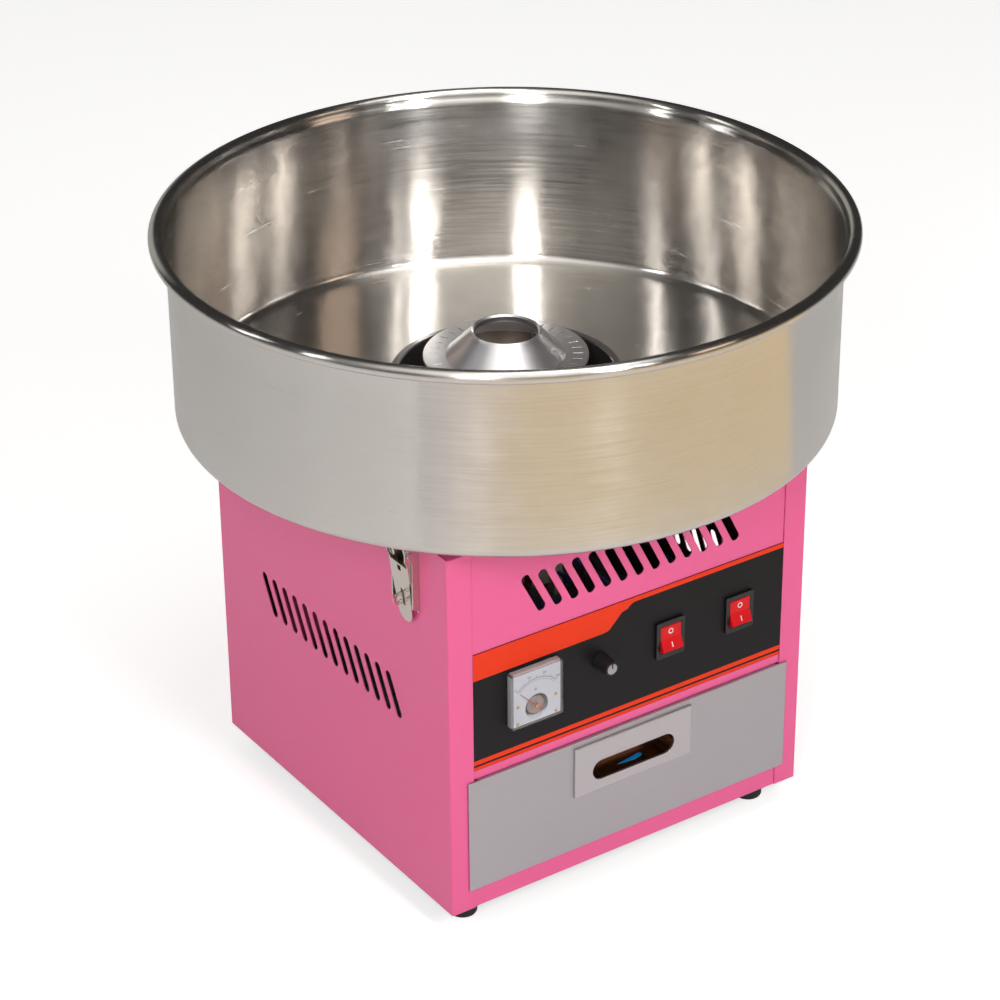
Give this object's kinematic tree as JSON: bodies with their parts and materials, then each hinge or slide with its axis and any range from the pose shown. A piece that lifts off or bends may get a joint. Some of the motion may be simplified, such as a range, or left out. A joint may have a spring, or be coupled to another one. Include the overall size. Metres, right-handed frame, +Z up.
{
  "type": "electric candy floss machine",
  "caption": "Electric bench-top candy floss machine: pink steel cabinet with control panel and drawer, spinning aluminium head in a wide stainless bowl held by draw latches.",
  "frame": {"origin": "on the floor under the axis of the spinning head, which is the centre of the bowl", "axes": "+Z up along the head's shaft, -Y towards the operator at the control panel, +X to the operator's right"},
  "size_m": [0.52, 0.5199, 0.484],
  "materials": {
    "pink_paint": "glossy powder coat",
    "deck_paint": "glossy powder coat",
    "control_print": "satin printed film",
    "foot_rubber": "matte",
    "screw_steel": "zinc plated",
    "gland_plastic": "matte moulded",
    "latch_nickel": "nickel plated",
    "meter_body": "light moulded",
    "meter_works": "dark",
    "dial_white": "white enamel",
    "meter_clear": "clear moulded",
    "needle_red": "matt red",
    "switch_black": "satin moulded",
    "rocker_red": "gloss moulded",
    "pot_metal": "plated",
    "knob_black": "satin moulded",
    "drawer_steel": "brushed",
    "pull_steel": "polished pocket",
    "runner_steel": "galvanised",
    "shaft_steel": "ground",
    "cast_alloy": "turned",
    "head_alloy": "turned and polished",
    "heater_ribbon": "heat tinted",
    "insulator": "pressed resin",
    "copper": "turned copper",
    "carbon": "matt carbon",
    "belt_rubber": "matte",
    "motor_paint": "satin",
    "board_green": "board",
    "wire_cover": "sleeving",
    "bowl_steel": "spun and brushed",
    "collar_black": "moulded"
  },
  "bodies": {
    "cabinet": {"side_panel_left": "pink_paint", "side_panel_right": "pink_paint", "front_panel": "pink_paint", "control_plate": "control_print", "rear_cover": "pink_paint", "base_pan": "pink_paint", "top_deck": "deck_paint", "rubber_feet": "foot_rubber", "case_screws": "screw_steel", "bowl_pads": "foot_rubber", "cord_gland": "gland_plastic", "latch_bases": "latch_nickel", "meter_case": "meter_body", "meter_movement": "meter_works", "meter_dial": "dial_white", "meter_window": "meter_clear", "switch_housing_heat": "switch_black", "switch_housing_motor": "switch_black", "regulator_pot": "pot_metal", "drawer_runners": "runner_steel", "bearing_housing": "cast_alloy", "bearing_outer_rings": "shaft_steel", "brush_holder": "insulator", "carbon_brushes": "carbon", "drive_belt": "belt_rubber", "motor_bracket": "runner_steel", "motor_case": "motor_paint", "regulator_board": "board_green", "terminal_block": "insulator", "wiring_loom": "wire_cover"},
    "bowl": {"bowl_shell": "bowl_steel", "bowl_collar": "collar_black", "bowl_keepers": "bowl_steel"},
    "spinner": {"drive_shaft": "shaft_steel", "bearing_inner_rings": "shaft_steel", "slip_ring_sleeve": "insulator", "slip_rings": "copper", "driven_pulley": "cast_alloy", "head_base": "head_alloy", "head_band": "head_alloy", "head_cover": "head_alloy", "heating_element": "heater_ribbon", "head_screws": "screw_steel"},
    "motor_rotor": {"motor_shaft": "shaft_steel", "motor_pulley": "cast_alloy"},
    "drawer": {"drawer_front": "drawer_steel", "drawer_tray": "drawer_steel", "drawer_pull": "pull_steel"},
    "rocker_heat": {"rocker_heat": "rocker_red"},
    "rocker_motor": {"rocker_motor": "rocker_red"},
    "regulator_knob": {"regulator_knob": "knob_black"},
    "meter_needle": {"meter_needle": "needle_red"},
    "lever_front_left": {"latch_lever_front_left": "latch_nickel"},
    "bail_front_left": {"latch_bail_front_left": "latch_nickel"},
    "lever_front_right": {"latch_lever_front_right": "latch_nickel"},
    "bail_front_right": {"latch_bail_front_right": "latch_nickel"},
    "lever_rear_left": {"latch_lever_rear_left": "latch_nickel"},
    "bail_rear_left": {"latch_bail_rear_left": "latch_nickel"},
    "lever_rear_right": {"latch_lever_rear_right": "latch_nickel"},
    "bail_rear_right": {"latch_bail_rear_right": "latch_nickel"}
  },
  "joints": [
    {"name": "head_spin", "type": "hinge", "parent": "cabinet", "child": "spinner", "pos_m": [0, 0, 0.35], "axis": [0, 0, 1], "continuous": true},
    {"name": "motor_spin", "type": "hinge", "parent": "cabinet", "child": "motor_rotor", "pos_m": [0, 0.092, 0.27], "axis": [0, 0, 1], "continuous": true},
    {"name": "bowl_lift", "type": "slide", "parent": "cabinet", "child": "bowl", "axis": [0, 0, 1], "range_m": [0, 0.16]},
    {"name": "drawer_slide", "type": "slide", "parent": "cabinet", "child": "drawer", "axis": [0, -1, 0], "range_m": [0, 0.2]},
    {"name": "rocker_heat_tilt", "type": "hinge", "parent": "cabinet", "child": "rocker_heat", "pos_m": [0.034, -0.1603, 0.193], "axis": [1, 0, 0], "range_deg": [0, 24]},
    {"name": "rocker_motor_tilt", "type": "hinge", "parent": "cabinet", "child": "rocker_motor", "pos_m": [0.099, -0.1603, 0.193], "axis": [1, 0, 0], "range_deg": [0, 24]},
    {"name": "regulator_turn", "type": "hinge", "parent": "cabinet", "child": "regulator_knob", "pos_m": [-0.0295, -0.165, 0.195], "axis": [0, 1, 0], "range_deg": [0, 300]},
    {"name": "needle_swing", "type": "hinge", "parent": "cabinet", "child": "meter_needle", "pos_m": [-0.0897, -0.165, 0.1807], "axis": [0, 1, 0], "range_deg": [0, 90], "stiffness_Nm_per_rad": 0.0005},
    {"name": "lever_front_left_turn", "type": "hinge", "parent": "cabinet", "child": "lever_front_left", "pos_m": [-0.1695, -0.113, 0.312], "axis": [0, 1, 0], "range_deg": [0, 75]},
    {"name": "bail_front_left_turn", "type": "hinge", "parent": "lever_front_left", "child": "bail_front_left", "pos_m": [-0.168, -0.113, 0.303], "axis": [0, 1, 0], "range_deg": [-83, 0]},
    {"name": "lever_front_right_turn", "type": "hinge", "parent": "cabinet", "child": "lever_front_right", "pos_m": [0.1695, -0.113, 0.312], "axis": [0, -1, 0], "range_deg": [0, 75]},
    {"name": "bail_front_right_turn", "type": "hinge", "parent": "lever_front_right", "child": "bail_front_right", "pos_m": [0.168, -0.113, 0.303], "axis": [0, -1, 0], "range_deg": [-83, 0]},
    {"name": "lever_rear_left_turn", "type": "hinge", "parent": "cabinet", "child": "lever_rear_left", "pos_m": [-0.1695, 0.113, 0.312], "axis": [0, 1, 0], "range_deg": [0, 75]},
    {"name": "bail_rear_left_turn", "type": "hinge", "parent": "lever_rear_left", "child": "bail_rear_left", "pos_m": [-0.168, 0.113, 0.303], "axis": [0, 1, 0], "range_deg": [-83, 0]},
    {"name": "lever_rear_right_turn", "type": "hinge", "parent": "cabinet", "child": "lever_rear_right", "pos_m": [0.1695, 0.113, 0.312], "axis": [0, -1, 0], "range_deg": [0, 75]},
    {"name": "bail_rear_right_turn", "type": "hinge", "parent": "lever_rear_right", "child": "bail_rear_right", "pos_m": [0.168, 0.113, 0.303], "axis": [0, -1, 0], "range_deg": [-83, 0]}
  ],
  "couplings": [
    {"joint": "motor_spin", "follows": "head_spin", "ratio": 1.5},
    {"joint": "bail_front_left_turn", "follows": "lever_front_left_turn", "ratio": -1.1},
    {"joint": "bail_front_right_turn", "follows": "lever_front_right_turn", "ratio": -1.1},
    {"joint": "bail_rear_left_turn", "follows": "lever_rear_left_turn", "ratio": -1.1},
    {"joint": "bail_rear_right_turn", "follows": "lever_rear_right_turn", "ratio": -1.1}
  ]
}
